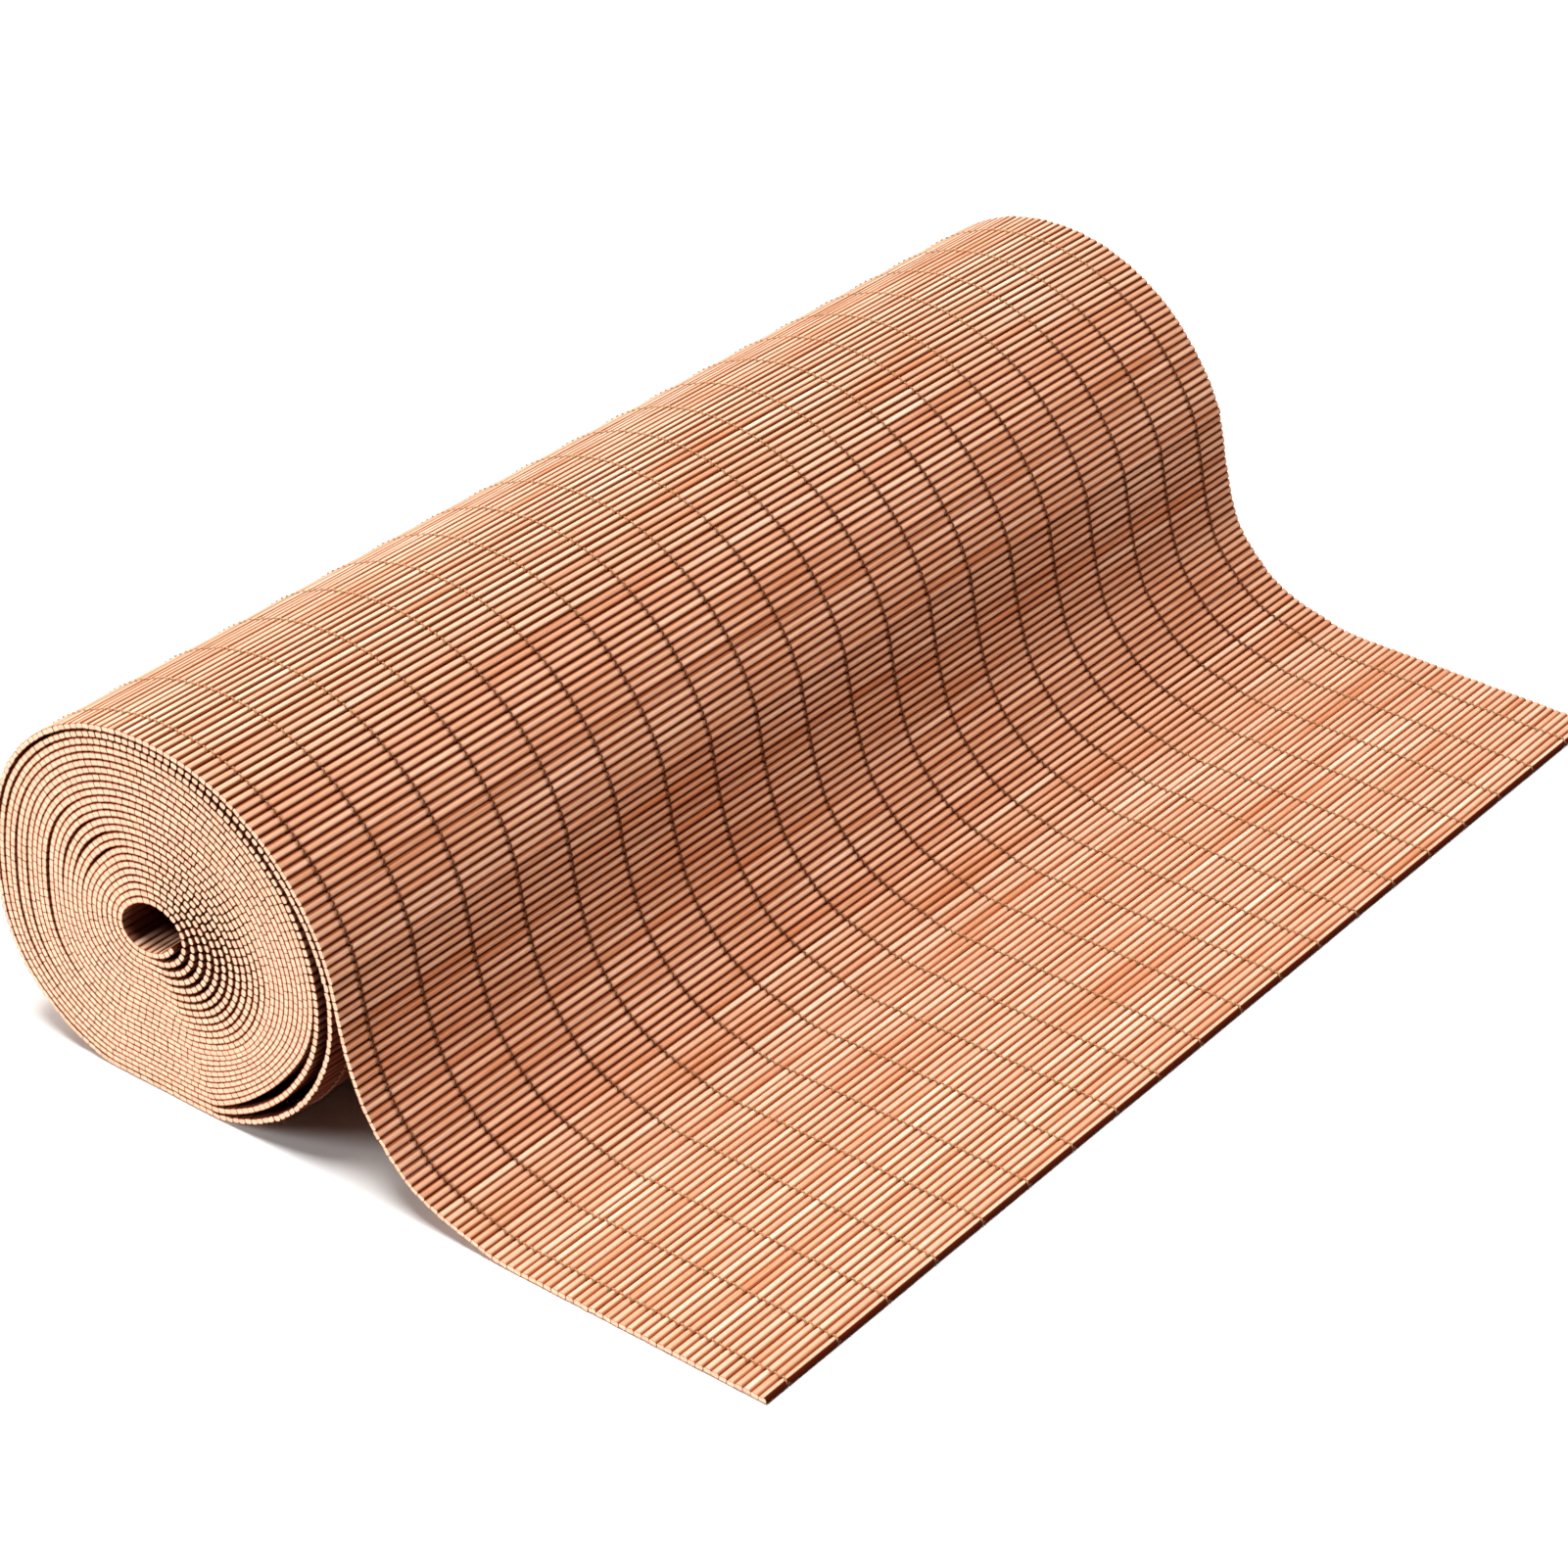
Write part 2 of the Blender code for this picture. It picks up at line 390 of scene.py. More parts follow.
def mat_line(side):
    """Middle line of the whole mat from its cut end to the core, and the angle of each wound point."""
    loose = loose_line(side)[::-1]
    angle = np.arange(LOOSE_FROM, 360.0 * TURNS, WINDING_STEP)
    wound = polar_points(angle, winding_radius(angle, side) - MAT_THICKNESS / 2)
    line = np.vstack([loose[:-1], wound])
    line[:, 1] = np.maximum(line[:, 1], MAT_THICKNESS / 2)
    line[:, 0] += CORE_X
    return line, np.concatenate([np.full(len(loose) - 1, LOOSE_FROM - 1), angle])


def layer_room(angle):
    """Room between a wound turn and the next one inwards, on average over both ends."""
    near = winding_radius(angle, NEAR) - winding_radius(angle + 360, NEAR)
    far = winding_radius(angle, FAR) - winding_radius(angle + 360, FAR)
    return (near + far) / 2


class Mat:
    """The mat's line at both ends, measured along it from the cut end, with a place for each slat."""

    def __init__(self, sizes):
        self.sizes = sizes
        self.near, angle = mat_line(NEAR)
        self.far, _ = mat_line(FAR)
        steps = [np.linalg.norm(np.diff(line, axis=0), axis=1) for line in (self.near, self.far)]
        self.length = np.concatenate([[0], np.cumsum(sum(steps) / 2)])
        top = self.length[np.argmax(angle >= LOOSE_FROM)]
        self.loose_slats = round(top / sizes.slat_pitch)
        self.pitch = top / self.loose_slats
        self.slats = int(self.length[-1] / self.pitch)
        self.shown_slats = round(np.interp(SHOWN_TO, angle, self.length) / self.pitch)
        self.angle = np.interp((np.arange(self.slats) + 0.5) * self.pitch, self.length, angle)
        self.slopes = [np.gradient(line, self.length, axis=0) for line in (self.near, self.far)]
        self.draw_unevenness()

    def draw_unevenness(self):
        """What makes each slat a little different. The limits are in standard deviations."""
        random = np.random.default_rng(RANDOM_SEED)
        count = self.slats
        self.widths = 1 + WIDTH_SPREAD * random.standard_normal(count).clip(-1.2, 0.4)
        self.thickness = 1 + THICKNESS_SPREAD * random.standard_normal(count).clip(-2, 1)
        self.lift = HEIGHT_SPREAD * random.standard_normal(count).clip(-2, 1.5)
        self.roll = np.radians(TILT_SPREAD) * random.standard_normal(count).clip(-2, 2)
        self.ends = self.sizes.uneven_ends * random.uniform(-1, 1, (count, 2))
        self.waves = random.uniform(0, 2 * np.pi, (count, 4))
        self.bay_tilt = random.standard_normal((count, self.sizes.rows + 1)).clip(-2, 2)

    def slat_at(self, angle):
        """Number of the slat that lies at an angle of the winding."""
        return float(np.argmax(self.angle > angle))

    def covered_from(self):
        """Place along the mat from which the loose end covers the outer turn."""
        return self.slat_at(SHADOW_ANGLE) * self.pitch

    def at(self, place, y):
        """Points on the mat's middle, with its direction and its outward normal, for places along Y."""
        share = ((y - NEAR_END) / SLAT_LENGTH)[..., None]
        ends = []
        for line, slope in zip((self.near, self.far), self.slopes):
            point = np.stack([np.interp(place, self.length, line[:, axis]) for axis in (0, 1)], -1)
            run = np.stack([np.interp(place, self.length, slope[:, axis]) for axis in (0, 1)], -1)
            ends.append((point, run))
        point = ends[0][0] * (1 - share) + ends[1][0] * share
        run = ends[0][1] * (1 - share) + ends[1][1] * share
        run = run / np.linalg.norm(run, axis=-1, keepdims=True)
        middle = np.stack([point[..., 0], y, point[..., 1]], -1)
        along = np.stack([run[..., 0], np.zeros_like(y), run[..., 1]], -1)
        normal = np.stack([run[..., 1], np.zeros_like(y), -run[..., 0]], -1)
        return middle, along, normal


def row_places(sizes):
    """Where the rows of stitching cross the slats, along Y."""
    return NEAR_END + sizes.first_row + sizes.row_pitch * np.arange(sizes.rows)


def ring_places(sizes):
    """Rings along a slat that shows whole: at its ends, and at and beside each row of stitching."""
    rows = row_places(sizes)
    edges = [NEAR_END, NEAR_END + CHAMFER, FAR_END - CHAMFER, FAR_END]
    return np.unique(np.concatenate([rows - STITCH_REACH, rows, rows + STITCH_REACH, edges]))


def covered_sections(mat, first, last):
    """Sections and widths of covered slats, each between a rounded square and about a circle."""
    angle = mat.angle[first:last]
    turn = (np.arange(COVERED_POINTS) + 0.5) / COVERED_POINTS * 2 * np.pi
    towards = np.maximum(np.cos(np.radians(angle - ROUND_ANGLE)), 0) ** ROUND_FADE
    inner = np.clip((angle / 360 - TURNS + ROUND_TURNS) / ROUND_TURNS * ROUND_GAIN, 0, 1)
    outer_towards = np.maximum(np.cos(np.radians(angle - OUTER_ROUND_ANGLE)), 0)
    outer = np.clip(OUTER_ROUND_TURNS - angle / 360, 0, 1)
    roundness = np.maximum(towards * inner, outer_towards * outer)
    power = 2 / (SQUARE + (ROUND - SQUARE) * roundness)
    points = np.stack([np.cos(turn), np.sin(turn)], -1)
    sections = np.sign(points) * np.abs(points) ** power[:, None, None]
    widths = mat.pitch * (1 + (ROUND_WIDTH - 1) * roundness)
    return sections / sections.max(1, keepdims=True), widths


def two_waves(share, phases, radians):
    """A slow uneven wave along each slat."""
    first = np.sin(share * radians[0] + phases[:, :1])
    return first + SECOND_WAVE * np.sin(share * radians[1] + phases[:, 1:])


def point_values(shape, *parts):
    """Three values for each point of all the rings."""
    return np.stack([np.broadcast_to(part, shape) for part in parts], -1)


def slat_rings(mat, first, last, rings, section, width, unevenness=1.0):
    """Corner points of slats first to last, as rings of section points, with their places in the mat."""
    sizes = mat.sizes
    index = np.arange(first, last)
    section = np.array(section)
    section = np.broadcast_to(section, (len(index), *section.shape[-2:]))[:, None]
    y = np.broadcast_to(rings, (len(index), len(rings))).copy()
    # The rings near an end stand in or out with it
    share = (rings - NEAR_END) / SLAT_LENGTH
    near_pull = np.clip(1 - share * ENDS_FADE, 0, 1)
    far_pull = np.clip(1 - (1 - share) * ENDS_FADE, 0, 1)
    y += unevenness * (mat.ends[index, :1] * near_pull + mat.ends[index, 1:] * far_pull)
    bow = two_waves(share, mat.waves[index, :2], BOW_WAVES)
    ripple = two_waves(share, mat.waves[index, 2:], HEIGHT_WAVES)
    place = (index[:, None] + 0.5) * mat.pitch + sizes.bow * bow
    point, along, normal = mat.at(place, y)

    bay = np.clip((y - NEAR_END - sizes.first_row) / sizes.row_pitch + 0.5, 0, sizes.rows).astype(int)
    bay_tilt = np.take_along_axis(mat.bay_tilt[index], bay, 1)
    tilt = mat.roll[index][:, None] + np.radians(BAY_TILT_SPREAD) * bay_tilt
    tilt = tilt * unevenness
    half_width = mat.widths[index] * width / 2
    # A wound slat is no thicker than the room that its turn has
    room = np.where(mat.angle[index] > LOOSE_FROM, layer_room(mat.angle[index]), 1)
    half_thickness = np.minimum(mat.thickness[index] * sizes.slat_thickness, ROOM_FILLED * room) / 2
    taper = np.where((rings <= rings[0]) | (rings >= rings[-1]), END_TAPER, 1.0)
    # The stitching holds slats a little apart
    pinch = np.where(np.abs(rings[:, None] - row_places(sizes)).min(1) < TINY, PINCH, 1.0)

    across = section[..., 0] * half_width[:, None, None] * (pinch * (taper + 1) / 2)[:, None]
    up = section[..., 1] * half_thickness[:, None, None] * taper[:, None]
    turned = across * np.cos(tilt)[..., None] - up * np.sin(tilt)[..., None]
    height = across * np.sin(tilt)[..., None] + up * np.cos(tilt)[..., None]
    height = height + unevenness * (mat.lift[index][:, None] + WAVE_HEIGHT * ripple)[..., None]
    places = (point[:, :, None] + turned[..., None] * along[:, :, None]
              + height[..., None] * normal[:, :, None])
    places[..., 2] = np.maximum(places[..., 2], 0)
    shape = places.shape[:3]
    mat_place = point_values(shape, place[:, :, None], (y - NEAR_END)[:, :, None], index[:, None, None])
    in_section = point_values(shape, section[..., 0], section[..., 1], 0.0)
    return places, mat_place, in_section


# The baking map, each pair a start and a width. A long stick has a strip, with a dot for each end. A stick
# of which mostly the ends show has a cell for each end, and its sides lie beside the near one.
STRIP_ALONG, STRIP_ACROSS = (0.01, 0.98), (0.06, 0.88)
DOT_PLACES, DOT_WIDTH, DOT_ACROSS = (0.004, 0.996), 0.003, (0.1, 0.8)
END_ACROSS, END_UP = (0.06, 0.54), (0.06, 0.88)
BESIDE_ACROSS, BESIDE_UP = (0.68, 0.28), (0.08, 0.84)


def fitted(room, share):
    """A share from 0 to 1, fitted into a room that is given by its start and width."""
    return room[0] + room[1] * share


def spread_map(sticks, steps, points):
    """Map for long sticks: each has a strip of its own, with its sides laid beside each other."""
    stick, step, point = np.indices((sticks, steps, points + 1))
    v = (stick + fitted(STRIP_ACROSS, point / points)) / sticks
    return np.stack([fitted(STRIP_ALONG, step / (steps - 1)), v], -1)


def cell_map(sticks, steps, points):
    """Map for sticks of which mostly the ends show: a cell for each end, the sides beside the near one."""
    side = int(np.ceil(np.sqrt(2 * sticks)))
    stick, step, point = np.indices((sticks, steps, points + 1))
    cell = 2 * stick
    u = (cell % side + fitted(BESIDE_ACROSS, point / points)) / side
    v = (cell // side + fitted(BESIDE_UP, step / (steps - 1))) / side
    return np.stack([u, v], -1)


def end_map(section, sticks, cells):
    """Map of the flat ends, near then far: in the cells beside the sides, or a dot at the strip's end."""
    flat = section / 2 + 0.5
    if not cells:
        stick = np.arange(sticks)[:, None]
        ends = []
        for dot in DOT_PLACES:
            v = (stick + fitted(DOT_ACROSS, flat[:, 1])) / sticks
            u = np.broadcast_to(dot + DOT_WIDTH * (flat[:, 0] - 0.5), v.shape)
            ends.append(np.stack([u, v], -1))
        return np.stack(ends, 1)
    side = int(np.ceil(np.sqrt(2 * sticks)))
    cell = 2 * np.arange(sticks)[:, None] + np.arange(2)
    u = ((cell % side)[..., None] + fitted(END_ACROSS, flat[:, 0])) / side
    v = ((cell // side)[..., None] + fitted(END_UP, flat[:, 1])) / side
    return np.stack([u, v], -1)


def stick_mesh(name, places, mat_place, in_section, cells=False):
    """One mesh of many closed sticks, each a tube of rings with two flat ends."""
    sticks, steps, points = places.shape[:3]
    number = np.arange(sticks * steps * points).reshape(sticks, steps, points)
    after = np.roll(number, -1, 2)
    sides = np.stack([number[:, :-1], number[:, 1:], after[:, 1:], after[:, :-1]], -1)
    near_caps = number[:, 0]
    far_caps = number[:, -1, ::-1]
    caps = np.stack([near_caps, far_caps], 1)
    loops = np.concatenate([sides.ravel(), caps.ravel()])
    side_faces = sides.size // 4
    totals = np.concatenate([np.full(side_faces, 4), np.full(sticks * 2, points)])

    mesh = bpy.data.meshes.new(name)
    mesh.vertices.add(number.size)
    mesh.vertices.foreach_set("co", places.astype(np.float32).ravel())
    mesh.loops.add(len(loops))
    mesh.loops.foreach_set("vertex_index", loops.astype(np.int32))
    mesh.polygons.add(len(totals))
    starts = np.concatenate([[0], np.cumsum(totals)[:-1]])
    mesh.polygons.foreach_set("loop_start", starts.astype(np.int32))
    smooth = np.concatenate([np.ones(side_faces, bool), np.zeros(sticks * 2, bool)])
    mesh.update(calc_edges=True)
    mesh.polygons.foreach_set("use_smooth", smooth)

    corner_place = mat_place.reshape(-1, 3)[loops]
    corner_section = in_section.reshape(-1, 3)[loops]
    corner_section[sides.size:, 2] = 1
    for layer, values in (("mat_place", corner_place), ("in_section", corner_section)):
        attribute = mesh.attributes.new(layer, "FLOAT_VECTOR", "CORNER")
        attribute.data.foreach_set("vector", values.astype(np.float32).ravel())

    grid = (cell_map if cells else spread_map)(sticks, steps, points)
    side_uv = np.stack([grid[:, :-1, :-1], grid[:, 1:, :-1], grid[:, 1:, 1:], grid[:, :-1, 1:]], -2)
    cap_section = in_section[0, 0, :, :2]
    cap_uv = end_map(cap_section, sticks, cells)
    # The points of a far end run the other way round
    cap_uv[:, 1] = cap_uv[:, 1, ::-1]
    uv = mesh.uv_layers.new(name="OFBake")
    both = np.concatenate([side_uv.reshape(-1, 2), cap_uv.reshape(-1, 2)])
    uv.uv.foreach_set("vector", both.astype(np.float32).ravel())
    mesh.validate()
    piece = bpy.data.objects.new(name, mesh)
    bpy.context.scene.collection.objects.link(piece)
    return piece


def strand_rings(mat, first, last, sides):
    """The two strands of each row of stitching, which cross between the slats and hold them in turn."""
    sizes = mat.sizes
    table = np.array(STITCH)
    slats = np.arange(first, last)
    rows = row_places(sizes)
    reach = sizes.slat_thickness / 2 + sizes.thread * STRAND_REACH
    lines, heights = [], []
    random = np.random.default_rng(RANDOM_SEED + 1)
    wobble = STITCH_SPREAD * random.standard_normal((len(rows), len(slats)))
    wobble = ROW_WAVE * np.sin(slats * ROW_WAVE_TURN)[None] + wobble
    for strand in (0, 1):
        over = np.where((slats + strand) % 2 == 0, 1.0, -1.0)
        place = ((slats[:, None] + 0.5 + table[:, 0]) * mat.pitch).ravel()
        height = (over[:, None] * table[:, 1]).ravel()
        slant = (over[:, None] * table[:, 2]).ravel()
        place = np.append(place, last * mat.pitch)
        height = np.append(height, 0.0)
        slant = np.append(slant, over[-1])
        drift = np.repeat(wobble, len(table), 1)
        drift = np.column_stack([drift, drift[:, -1]])
        y = rows[:, None] + slant * sizes.slant + drift
        whole = np.broadcast_to(place, y.shape)
        point, _, normal = mat.at(whole, y)
        lines.append(point + (height * reach)[:, None] * normal)
        heights.append((normal, np.broadcast_to(height, y.shape), whole, y))
    centre = np.concatenate(lines)
    normal, height, place, y = (np.concatenate(part) for part in zip(*heights))
    run = np.gradient(centre, axis=1)
    run /= np.linalg.norm(run, axis=-1, keepdims=True)
    across = np.cross(run, normal)
    across /= np.linalg.norm(across, axis=-1, keepdims=True)
    out = np.cross(across, run)
    turn = np.arange(sides) / sides * 2 * np.pi
    ring = (np.cos(turn)[:, None] * across[:, :, None] + np.sin(turn)[:, None] * out[:, :, None])
    places = centre[:, :, None] + ring * sizes.thread / 2
    places[..., 2] = np.maximum(places[..., 2], 0)
    shape = places.shape[:3]
    strand = np.arange(shape[0])[:, None, None]
    mat_place = point_values(shape, place[:, :, None], (y - NEAR_END)[:, :, None], strand)
    in_section = point_values(shape, np.cos(turn), height[:, :, None], 0.0)
    return places, mat_place, in_section


# The bamboo's material. Across is 0 in a slat's middle and 1 at its edges, or -1 at the one towards the cut
# end, and up is -1 at its foot and 1 at its top. Lengths are in metres. A change begins at the first of two
# values and is full at the second, but for roughness, gloss and light: what is multiplied by, and added.
PATCH_SCALE = (95.0, 24.0)
STREAK_SCALE = (0.83, 17.0)
FIBRE_SCALE = (2.6, 70.0)
FIBRE_STEP = 3.7
DEEP_TONE = (0.55, 0.10)
LIGHT_TONE = (0.50, 0.90)
# Painted in part: the flank colour spreads over these parts of the width, and painted shade lies at the foot
# of the flanks
SIDE_ACROSS = (0.25, 0.84)
FOOT_ACROSS, FOOT_UP = (0.72, 0.97), (0.62, -0.30)
# Painted shade in the grooves of the bent mat
GROOVE_ACROSS, GROOVE_DARK = (0.28, 0.84), 0.64
# Painted shadow beside the rows of stitching
ROW_SHADOW_REACH, ROW_SHADOW_DARK = (0.0011, 0.0003), 0.45
# Painted shade on wound slats: under the outer turn, inside the covered turns, a little less near the
# opening, and left off the core's floor near it
UNDERSIDE_UP, UNDERSIDE_DARK = (-0.2, -0.8), 0.9
INSIDE_DARK = 0.96
OPENING_DEPTH, OPENING_DARK = (0.0002, 0.003), 0.90
CORE_FLOOR_DEPTH = (0.010, 0.004)
# Painted shadow under the loose end, reaching full strength over this length
SHADOW_RISE_LENGTH, SHADOW_DARK = 0.02, 0.94
# Painted shade on the last slat's cut side
CUT_SIDE_ACROSS = (-0.12, -0.45)
PORE_SCALE = (3.2, 2.6, 5.3)
PORES, PORE_DARK = (0.56, 0.74), 0.45
END_CONTRAST = 0.45
RIM_UP, RIM_ACROSS = (0.45, 1.0), (0.70, 1.15)
FIBRE_ROUGHNESS, END_ROUGHNESS = (0.22, 0.36), 0.7
FIBRE_GLOSS = (0.4, 0.05)
COAT_ROUGHNESS = 0.30

# The stitching's material: the twist of its plies along the mat and round a strand, and its fuzz
PLY_ALONG, PLY_ROUND = 9000.0, 2.2
FUZZ_ALONG, FUZZ_STEP = 1800.0, 3.1
# Painted shade: below the first height a strand counts as in a gap and gets the gap colours, above the second
# it is over a slat
ON_SLAT_UP = (0.25, 0.95)
PLY_LIGHT, FUZZ_LIGHT = (0.45, 0.55), (0.8, 0.6)
THREAD_ROUGHNESS = (0.2, 0.18)
THREAD_SPECULAR = 0.2

# How high the fibres and the plies stand
FIBRE_RELIEF, PLY_RELIEF = 0.00006, 0.00004
RELIEF_STRENGTH = 0.6


def add_node(tree, kind, inputs=None, **settings):
    """A shader node with its settings and its unlinked inputs, by name or number."""
    node = tree.nodes.new(kind)
    for key, value in settings.items():
        setattr(node, key, value)
    for key, value in (inputs or {}).items():
        if isinstance(value, bpy.types.NodeSocket):
            tree.links.new(value, node.inputs[key])
        else:
            node.inputs[key].default_value = value
    return node


def math(tree, operation, *values, clamp=False):
    """The result of a sum on sockets or numbers."""
    node = add_node(tree, "ShaderNodeMath", dict(enumerate(values)), operation=operation, use_clamp=clamp)
    return node.outputs[0]


def vector(tree, x, y, z=0.0):
    """Three sockets or numbers as one vector."""
    return add_node(tree, "ShaderNodeCombineXYZ", {"X": x, "Y": y, "Z": z}).outputs[0]


def scaled(tree, values, scales):
    """Two or three values as one vector, each times its own scale."""
    return vector(tree, *(math(tree, "MULTIPLY", *pair) for pair in zip(values, scales)))


def mixed(tree, factor, first, second, blend="MIX"):
    """The first colour, with a share of the second one."""
    node = tree.nodes.new("ShaderNodeMix")
    node.data_type = "RGBA"
    node.blend_type = blend
    for socket, value in ((node.inputs[0], factor), (node.inputs[6], first), (node.inputs[7], second)):
        if isinstance(value, bpy.types.NodeSocket):
            tree.links.new(value, socket)
        else:
            socket.default_value = value
    return node.outputs[2]


def ramp(tree, value, low, high):
    """The value's rise from 0 at low to 1 at high, smoothly."""
    node = add_node(tree, "ShaderNodeMapRange", {0: value, 1: low, 2: high}, interpolation_type="SMOOTHSTEP")
    return node.outputs[0]


def noise(tree, place, detail=2.0, roughness=0.5):
    """Soft noise at a place that is already scaled."""
    node = add_node(tree, "ShaderNodeTexNoise", {
        "Vector": place, "Scale": 1.0, "Detail": detail, "Roughness": roughness})
    return node.outputs[0]


def in_sweep(tree, place):
    """1 in the sweep of the loose end, where shade is painted onto the slats and the stitching, and 0 on the
    flat and the roll.
    """
    return math(tree, "MULTIPLY", ramp(tree, place, *SWEEP_SHADE_RISE), ramp(tree, place, *SWEEP_SHADE_FALL))


def split(tree, name):
    """The three values that a mesh carries under a name."""
    attribute = add_node(tree, "ShaderNodeAttribute", attribute_name=name)
    return add_node(tree, "ShaderNodeSeparateXYZ", {0: attribute.outputs["Vector"]}).outputs


def new_group(name, inputs, outputs):
    """An empty shader node group with named sockets."""
    tree = bpy.data.node_groups.new(name, "ShaderNodeTree")
    for label, kind, default in inputs:
        socket = tree.interface.new_socket(label, in_out="INPUT", socket_type=kind)
        socket.default_value = default
    for label, kind in outputs:
        tree.interface.new_socket(label, in_out="OUTPUT", socket_type=kind)
    return tree, tree.nodes.new("NodeGroupInput").outputs, tree.nodes.new("NodeGroupOutput").inputs


def bamboo_group(sizes, colours):
    """Colour, roughness and height of a bamboo slat: its own tone, bays, patches, fibres, sides and ends,
    with painted shade mixed in from the gap colour.
    """
    colour, number = "NodeSocketColor", "NodeSocketFloat"
    tree, given, made = new_group(
        "Bamboo slats",
        [("Light", colour, colours.light), ("Middle", colour, colours.middle),
         ("Deep", colour, colours.deep), ("Sweep shade tint", colour, colours.sweep_shade_tint),
         ("Side", colour, colours.side), ("Gap", colour, colours.gap),
         ("End", colour, colours.end), ("Pore", colour, colours.pore),
         ("Slat contrast", number, 0.26), ("Bay contrast", number, 0.13), ("Streak contrast", number, 0.38),
         ("Patch contrast", number, 0.26), ("Fibre contrast", number, 0.30),
         ("Dark inside", number, 0.0), ("Dark underside", number, 0.0),
         ("Core floor from slat", number, NEVER), ("Core floor to slat", number, NEVER),
         ("Dusky from", number, NEVER)],
        [("Color", colour), ("Roughness", number), ("Gloss", number), ("Height", number)])
    place = split(tree, "mat_place")
    section = split(tree, "in_section")

    # Each slat, each bay of it between two rows of stitching, and patches of slats cut from one cane
    own = add_node(tree, "ShaderNodeTexWhiteNoise", {"W": place[2]}, noise_dimensions="1D")
    bay = math(tree, "FLOOR", math(tree, "DIVIDE", math(tree, "SUBTRACT", place[1], sizes.first_row),
                                   sizes.row_pitch))
    bay_own = add_node(tree, "ShaderNodeTexWhiteNoise", {"Vector": vector(tree, place[2], bay)},
                       noise_dimensions="2D")
    patch = noise(tree, scaled(tree, (place[0], place[1]), PATCH_SCALE))
    streak = noise(tree, scaled(tree, (place[2], place[1]), STREAK_SCALE), detail=1.0)
    fibre_place = vector(
        tree, math(tree, "MULTIPLY", section[0], FIBRE_SCALE[0]),
        math(tree, "MULTIPLY", place[1], FIBRE_SCALE[1]),
        math(tree, "MULTIPLY_ADD", place[2], FIBRE_STEP, section[1]))
    fibre = noise(tree, fibre_place, detail=4.0, roughness=0.6)
    tone = 0.5
    for value, contrast, spread in (
            (own.outputs["Value"], "Slat contrast", 1.0), (bay_own.outputs["Value"], "Bay contrast", 1.0),
            (streak, "Streak contrast", 2.0), (patch, "Patch contrast", 2.0), (fibre, "Fibre contrast", 2.0)):
        centred = math(tree, "MULTIPLY", math(tree, "SUBTRACT", value, 0.5), spread)
        tone = math(tree, "MULTIPLY_ADD", centred, given[contrast], tone)
    shown = mixed(tree, ramp(tree, tone, *DEEP_TONE), given["Middle"], given["Deep"])
    shown = mixed(tree, ramp(tree, tone, *LIGHT_TONE), shown, given["Light"])

    # Painted shade: in the sweep the slats are tinted redder and darker, for the shade and the mat's reddish
    # bounced light there
    sweep = in_sweep(tree, place[0])
    shown = mixed(tree, sweep, shown, given["Sweep shade tint"], blend="MULTIPLY")

    # Partly painted: the flanks turn deeper and redder from near the crown down, partly the bamboo's own
    # flank tone and partly painted shade of the rounded top; their foot gets painted shade, as deep in a gap
    across = math(tree, "ABSOLUTE", section[0])
    side = ramp(tree, across, *SIDE_ACROSS)
    shown = mixed(tree, side, shown, given["Side"])
    foot = math(tree, "MULTIPLY", ramp(tree, across, *FOOT_ACROSS), ramp(tree, section[1], *FOOT_UP))

    # Painted shade: from where the mat leaves the flat, through the sweep and round the roll, its grooves are
    # painted darker
    bends = math(tree, "MULTIPLY", ramp(tree, place[0], *BENDS), GROOVE_DARK)
    groove = math(tree, "MULTIPLY", ramp(tree, across, *GROOVE_ACROSS), bends)

    # Painted shadow: in the sweep the slats are painted dark beside each row of stitching, where the stitches
    # shade them
    from_row = math(tree, "PINGPONG", math(tree, "SUBTRACT", place[1], sizes.first_row), sizes.row_pitch / 2)
    beside = math(tree, "MULTIPLY", ramp(tree, from_row, *ROW_SHADOW_REACH), sweep)
    beside = math(tree, "MULTIPLY", beside, ROW_SHADOW_DARK)

    # Painted shade: covered turns are painted dark where they lie on each other, a little less near the near
    # opening, and the outer turn on its underside; the core's floor near the opening is left free of it,
    # where lamp light falls in
    underside = ramp(tree, section[1], *UNDERSIDE_UP)
    at_core = math(tree, "MULTIPLY", math(tree, "GREATER_THAN", place[2], given["Core floor from slat"]),
                   math(tree, "LESS_THAN", place[2], given["Core floor to slat"]))
    near_opening = math(tree, "MULTIPLY", underside, ramp(tree, place[1], *CORE_FLOOR_DEPTH))
    at_core = math(tree, "MULTIPLY", at_core, near_opening)
    deeper = math(tree, "MULTIPLY_ADD", ramp(tree, place[1], *OPENING_DEPTH), 1 - OPENING_DARK, OPENING_DARK)
    inside = math(tree, "MULTIPLY", math(tree, "SUBTRACT", 1.0, at_core), given["Dark inside"])
    inside = math(tree, "MULTIPLY", inside, deeper)
    under = math(tree, "MULTIPLY", underside, given["Dark underside"])

    # Painted shadow: the outer turn is painted dark where the loose end covers it
    painted_shadow_to = math(tree, "ADD", given["Dusky from"], SHADOW_RISE_LENGTH)
    painted_shadow = math(tree, "MULTIPLY", ramp(tree, place[0], given["Dusky from"], painted_shadow_to), SHADOW_DARK)
    # Painted shade: the last slat's cut side, turned away from the lamps, is painted dark
    last_slat = math(tree, "LESS_THAN", place[2], 0.5)
    cut_side = math(tree, "MULTIPLY", last_slat, ramp(tree, section[0], *CUT_SIDE_ACROSS))
    dark = foot
    for share in (groove, beside, inside, under, painted_shadow, cut_side):
        dark = math(tree, "MAXIMUM", dark, share)
    shown = mixed(tree, dark, shown, given["Gap"])

